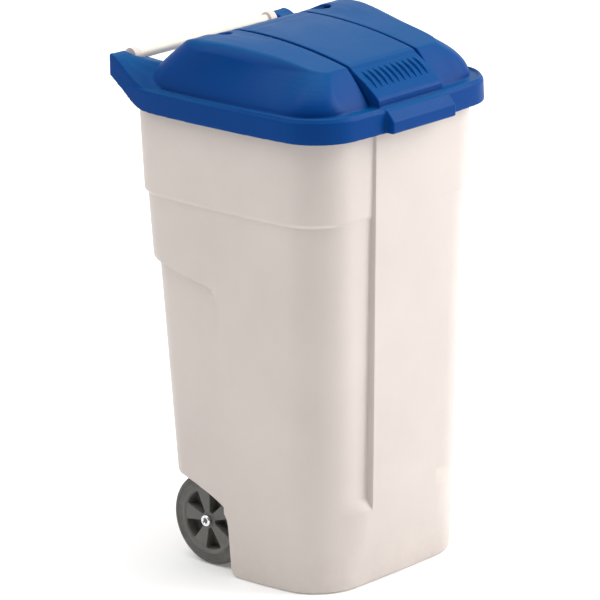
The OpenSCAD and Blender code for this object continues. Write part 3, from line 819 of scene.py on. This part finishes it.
class Nodes:
    """A short way to write a material's node tree."""

    def __init__(self, name):
        self.mat = bpy.data.materials.new(name)
        self.mat.use_nodes = True
        self.tree = self.mat.node_tree
        self.tree.nodes.clear()
        self.out = self.tree.nodes.new("ShaderNodeOutputMaterial")
        self.bsdf = self.tree.nodes.new("ShaderNodeBsdfPrincipled")
        self.tree.links.new(self.bsdf.outputs[0], self.out.inputs[0])
        self.coord = self.tree.nodes.new("ShaderNodeTexCoord").outputs["Object"]

    def put(self, socket, value):
        if isinstance(value, bpy.types.NodeSocket):
            self.tree.links.new(value, socket)
        else:
            socket.default_value = value

    def noise(self, scale, detail=3.0, rough=0.55, stretch=(1, 1, 1)):
        m = self.tree.nodes.new("ShaderNodeMapping")
        self.put(m.inputs["Vector"], self.coord)
        m.inputs["Scale"].default_value = stretch
        n = self.tree.nodes.new("ShaderNodeTexNoise")
        self.put(n.inputs["Vector"], m.outputs[0])
        n.inputs["Scale"].default_value = scale
        n.inputs["Detail"].default_value = detail
        n.inputs["Roughness"].default_value = rough
        return n.outputs["Fac"]

    def ramp(self, value, a, b, lo=0.0, hi=1.0):
        """value from a..b spread to lo..hi."""
        n = self.tree.nodes.new("ShaderNodeMapRange")
        for socket, v in zip(n.inputs[:5], (value, a, b, lo, hi)):
            self.put(socket, v)
        return n.outputs[0]

    def math(self, how, a, b=0.0):
        n = self.tree.nodes.new("ShaderNodeMath")
        n.operation = how
        self.put(n.inputs[0], a)
        self.put(n.inputs[1], b)
        return n.outputs[0]

    def blend(self, fac, a, b):
        n = self.tree.nodes.new("ShaderNodeMix")
        n.data_type = "RGBA"
        self.put(n.inputs[0], fac)
        self.put(n.inputs[6], a)
        self.put(n.inputs[7], b)
        return n.outputs[2]

    def tint(self, fac, a, b):
        """a multiplied by b as far as fac."""
        n = self.tree.nodes.new("ShaderNodeMix")
        n.data_type, n.blend_type = "RGBA", "MULTIPLY"
        self.put(n.inputs[0], fac)
        self.put(n.inputs[6], a)
        self.put(n.inputs[7], b)
        return n.outputs[2]

    def upward(self, a, b):
        """1 on faces that look up in the piece's own frame, 0 on faces that stand up."""
        c = self.tree.nodes.new("ShaderNodeTexCoord")
        n = self.tree.nodes.new("ShaderNodeSeparateXYZ")
        self.put(n.inputs[0], c.outputs["Normal"])
        return self.ramp(n.outputs[2], a, b)

    def height(self):
        """Height above the ground in metres."""
        n = self.tree.nodes.new("ShaderNodeSeparateXYZ")
        self.put(n.inputs[0], self.coord)
        return n.outputs[2]

    def edges(self, a, b):
        """1 on outward edges, 0 elsewhere."""
        g = self.tree.nodes.new("ShaderNodeNewGeometry")
        return self.ramp(g.outputs["Pointiness"], a, b)

    def bump(self, height, strength, distance, base=None):
        n = self.tree.nodes.new("ShaderNodeBump")
        n.inputs["Strength"].default_value = strength
        n.inputs["Distance"].default_value = distance
        self.put(n.inputs["Height"], height)
        if base is not None:
            self.put(n.inputs["Normal"], base)
        return n.outputs[0]

    def finish(self, color, rough, normal=None, metal=0.0, **more):
        self.put(self.bsdf.inputs["Base Color"], color)
        self.put(self.bsdf.inputs["Roughness"], rough)
        self.put(self.bsdf.inputs["Metallic"], metal)
        if normal is not None:
            self.put(self.bsdf.inputs["Normal"], normal)
        for key, v in more.items():
            self.put(self.bsdf.inputs[key.replace("_", " ")], v)
        return self.mat


def tone(rgb, k):
    return tuple(min(1.0, c * k) for c in rgb) + (1.0,)


def moulded_plastic(name, rgb, rough=0.42, grain=0.25, dirt=(0.30, 0.26, 0.22), dirty=0.12,
                    wear_and_highlight=0.15, shine=0.35, upright_shade=None, rub_and_highlight=1.35):
    """Injection moulded plastic: faint clouding, fine grain, scuffs, edges lightened as wear and
    painted highlight, ground dust.

    upright tints the faces that stand up as painted shade, rub is how much lighter the outward edges
    are, as wear and painted highlight."""
    n = Nodes(name)
    cloud = n.noise(5.0, 4.0, 0.6)
    speck = n.noise(420.0, 2.0, 0.5)
    color = n.blend(n.ramp(cloud, 0.3, 0.7), tone(rgb, 0.955), tone(rgb, 1.035))
    color = n.blend(n.ramp(speck, 0.35, 0.75, 0.0, 0.10), color, tone(rgb, 0.80))
    scuff = n.math("MULTIPLY", n.ramp(n.noise(60.0, 6.0, 0.7, (1, 1, 7)), 0.66, 0.78),
                   n.ramp(n.noise(4.0, 2.0), 0.50, 0.66))
    color = n.blend(n.math("MULTIPLY", scuff, 0.22), color, tone(rgb, 1.22))
    # outward edges lightened: wear, and painted highlight where the amount is large
    color = n.blend(n.math("MULTIPLY", n.edges(0.53, 0.60), wear_and_highlight), color, tone(rgb, rub_and_highlight))
    # painted shade: faces that stand up are tinted darker and bluer than faces that look up
    if upright_shade is not None:
        color = n.tint(n.upward(0.90, 0.55), color, upright_shade)
    low = n.math("MULTIPLY", n.ramp(n.height(), 0.10, 0.0),
                 n.ramp(n.noise(38.0, 5.0, 0.65), 0.40, 0.68))
    color = n.blend(n.math("MULTIPLY", low, dirty), color, dirt + (1.0,))
    roughness = n.math("ADD", n.ramp(n.noise(14.0, 5.0, 0.6), 0.3, 0.7, rough - 0.05, rough + 0.06),
                       n.math("MULTIPLY", scuff, 0.18))
    normal = n.bump(n.noise(9.0, 2.0, 0.4), 0.10, 0.0015)
    normal = n.bump(n.noise(900.0, 2.0, 0.6), grain, 0.00016, normal)
    normal = n.bump(scuff, 0.12, 0.0002, normal)
    return n.finish(color, roughness, normal, Specular_IOR_Level=shine)


def rubber(name, rgb, rough=0.72):
    n = Nodes(name)
    color = n.blend(n.ramp(n.noise(30.0, 5.0, 0.65), 0.3, 0.7), tone(rgb, 0.86), tone(rgb, 1.12))
    dust = n.math("MULTIPLY", n.ramp(n.noise(85.0, 5.0, 0.7), 0.48, 0.72), 0.18)
    color = n.blend(dust, color, (0.34, 0.32, 0.29, 1.0))
    normal = n.bump(n.noise(600.0, 3.0, 0.6), 0.30, 0.0003)
    return n.finish(color, n.ramp(n.noise(50.0), 0.3, 0.7, rough - 0.08, rough + 0.10), normal)


def steel(name, rgb, rough, drawn=(1, 60, 60)):
    n = Nodes(name)
    streak = n.noise(60.0, 4.0, 0.7, drawn)
    color = n.blend(n.ramp(streak, 0.3, 0.7), tone(rgb, 0.88), tone(rgb, 1.08))
    normal = n.bump(streak, 0.10, 0.0001)
    return n.finish(color, n.ramp(streak, 0.3, 0.7, rough - 0.06, rough + 0.10), normal, metal=1.0)


BEIGE = (0.630, 0.562, 0.524)
CREAM = (0.800, 0.740, 0.630)
BLUE = (0.002, 0.066, 0.216)
GREY = (0.125, 0.120, 0.112)

MAT = {
    "body_plastic": moulded_plastic("body_plastic", BEIGE, rough=0.40),
    "handle_plastic": moulded_plastic("handle_plastic", CREAM, rough=0.38, dirty=0.0),
    # the lid's strong edge lightening is painted highlight, and its tint on faces that stand up is
    # painted shade
    "lid_plastic": moulded_plastic("lid_plastic", BLUE, rough=0.36, dirty=0.0, wear_and_highlight=0.60, rub_and_highlight=2.0,
                                   shine=0.06, upright_shade=(1.0, 0.72, 1.0, 1.0)),
    "hub_plastic": moulded_plastic("hub_plastic", GREY, rough=0.50, dirty=0.35, wear_and_highlight=0.35),
    "bush_plastic": moulded_plastic("bush_plastic", (0.018, 0.018, 0.020), rough=0.45, dirty=0.1),
    "buffer_rubber": rubber("buffer_rubber", (0.020, 0.020, 0.021)),
    "tyre_rubber": rubber("tyre_rubber", (0.105, 0.100, 0.093)),
    "axle_steel": steel("axle_steel", (0.16, 0.16, 0.17), 0.42),
    "pin_steel": steel("pin_steel", (0.62, 0.62, 0.64), 0.30),
    "cap_chrome": steel("cap_chrome", (0.86, 0.87, 0.88), 0.12, (1, 1, 1)),
}


def finish_piece(obj, slot_name, body, *nodes):
    obj.data.materials.clear()
    obj.data.materials.append(MAT[slot_name])
    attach(obj, body)
    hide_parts(*nodes)
    return obj


for part in frame["record"]["subparts"]:
    node = NODES[part["node"]]
    node.data.materials.clear()
    node.data.materials.append(MAT[part["material_slot"]])

# ---------------------------------------------------------------- pieces

finish_piece(build_body(), "body_plastic", "bin", "bin_body")
finish_piece(build_lid(), "lid_plastic", "lid", "lid_shell")
bar = build_bar()
shade(bar, 40)
finish_piece(bar, "handle_plastic", "bin", "handle_bar")
for kind, builder, slot_name, sharp, body in (("tyre", build_tyre, "tyre_rubber", 40, "wheel_"),
                                              ("hub", build_hub, "hub_plastic", 50, "wheel_"),
                                              ("cap", build_cap, "cap_chrome", 50, None)):
    left = builder()
    left.name = "wheel_left_" + kind + "_form"
    shade(left, sharp)
    right = other_side(left, "wheel_right_" + kind + "_form")
    for piece, side in ((left, "left"), (right, "right")):
        finish_piece(piece, slot_name, body + side if body else "bin", "wheel_" + side + "_" + kind)

# ---------------------------------------------------------------- floor, light and camera


def floor():
    size = 30.0
    mesh = bpy.data.meshes.new("floor")
    mesh.from_pydata([(-size, -size, 0), (size, -size, 0), (size, size, 0), (-size, size, 0)], [],
                     [(0, 1, 2, 3)])
    obj = bpy.data.objects.new("floor", mesh)
    bpy.context.scene.collection.objects.link(obj)
    n = Nodes("floor_pale")
    away = n.tree.nodes.new("ShaderNodeVectorMath")
    away.operation = "LENGTH"
    n.put(away.inputs[0], n.coord)
    seen = n.tree.nodes.new("ShaderNodeLightPath").outputs["Is Camera Ray"]
    far = n.math("MULTIPLY", n.ramp(away.outputs["Value"], 1.2, 4.0, 0.0, 0.5), seen)
    mesh.materials.append(n.finish((0.90, 0.90, 0.90, 1.0), 0.9, Emission_Color=(1.0, 1.0, 1.0, 1.0),
                                   Emission_Strength=n.math("ADD", far, 0.14)))


def softbox(name, azimuth, elevation, distance, size, power, target=(0, 0, 0.4)):
    """An area light at an azimuth and elevation round the object, facing it."""
    data = bpy.data.lights.new(name, "AREA")
    data.shape, data.size, data.size_y, data.energy = "RECTANGLE", size[0], size[1], power
    obj = bpy.data.objects.new(name, data)
    bpy.context.scene.collection.objects.link(obj)
    a, e = math.radians(azimuth), math.radians(elevation)
    back = Vector((math.sin(a) * math.cos(e), -math.cos(a) * math.cos(e), math.sin(e)))
    obj.location = Vector(target) + back * distance
    obj.rotation_mode = "QUATERNION"
    obj.rotation_quaternion = (-back).to_track_quat("-Z", "Y")


def camera():
    azimuth, elevation, roll = math.radians(-47.5), math.radians(17.0), math.radians(-0.9)
    distance, target = 7.0, Vector((0, SHIFT * MM, 0.4))
    back = Vector((math.sin(azimuth) * math.cos(elevation),
                   -math.cos(azimuth) * math.cos(elevation), math.sin(elevation)))
    right = Vector((math.cos(azimuth), math.sin(azimuth), 0))
    up = back.cross(right)
    right, up = (right * math.cos(roll) + up * math.sin(roll),
                 up * math.cos(roll) - right * math.sin(roll))
    data = bpy.data.cameras.new("camera")
    data.sensor_width = 36.0
    data.lens = 270.2
    data.shift_x, data.shift_y = -0.0117, 0.0072
    data.clip_end = 100.0
    obj = bpy.data.objects.new("camera", data)
    bpy.context.scene.collection.objects.link(obj)
    turn = Matrix((right, up, back)).transposed().to_4x4()
    obj.matrix_world = Matrix.Translation(target + back * distance) @ turn
    bpy.context.scene.camera = obj


def studio():
    world = bpy.data.worlds.new("studio")
    world.use_nodes = True
    background = world.node_tree.nodes["Background"]
    background.inputs["Color"].default_value = (1.0, 1.0, 1.0, 1.0)
    tree = world.node_tree
    coord = tree.nodes.new("ShaderNodeTexCoord")
    dot = tree.nodes.new("ShaderNodeVectorMath")
    dot.operation = "DOT_PRODUCT"
    dot.inputs[1].default_value = (-0.737, -0.676, 0.0)
    dim = tree.nodes.new("ShaderNodeMapRange")
    for socket, value in zip(dim.inputs[1:5], (-0.1, 0.8, 0.90, 0.10)):
        socket.default_value = value
    seen = tree.nodes.new("ShaderNodeLightPath")
    level = tree.nodes.new("ShaderNodeMath")
    level.operation = "MAXIMUM"
    tree.links.new(coord.outputs["Generated"], dot.inputs[0])
    tree.links.new(dot.outputs["Value"], dim.inputs[0])
    tree.links.new(dim.outputs[0], level.inputs[0])
    tree.links.new(seen.outputs["Is Camera Ray"], level.inputs[1])
    tree.links.new(level.outputs[0], background.inputs["Strength"])
    scene = bpy.context.scene
    scene.world = world
    scene.view_settings.view_transform = "Standard"
    softbox("key", 44, 30, 4.0, (2.5, 2.5), 124)
    softbox("fill", -112, 55, 4.0, (2.5, 2.5), 46)
    softbox("top", -20, 80, 3.5, (3.0, 3.0), 50)


floor()
studio()
camera()
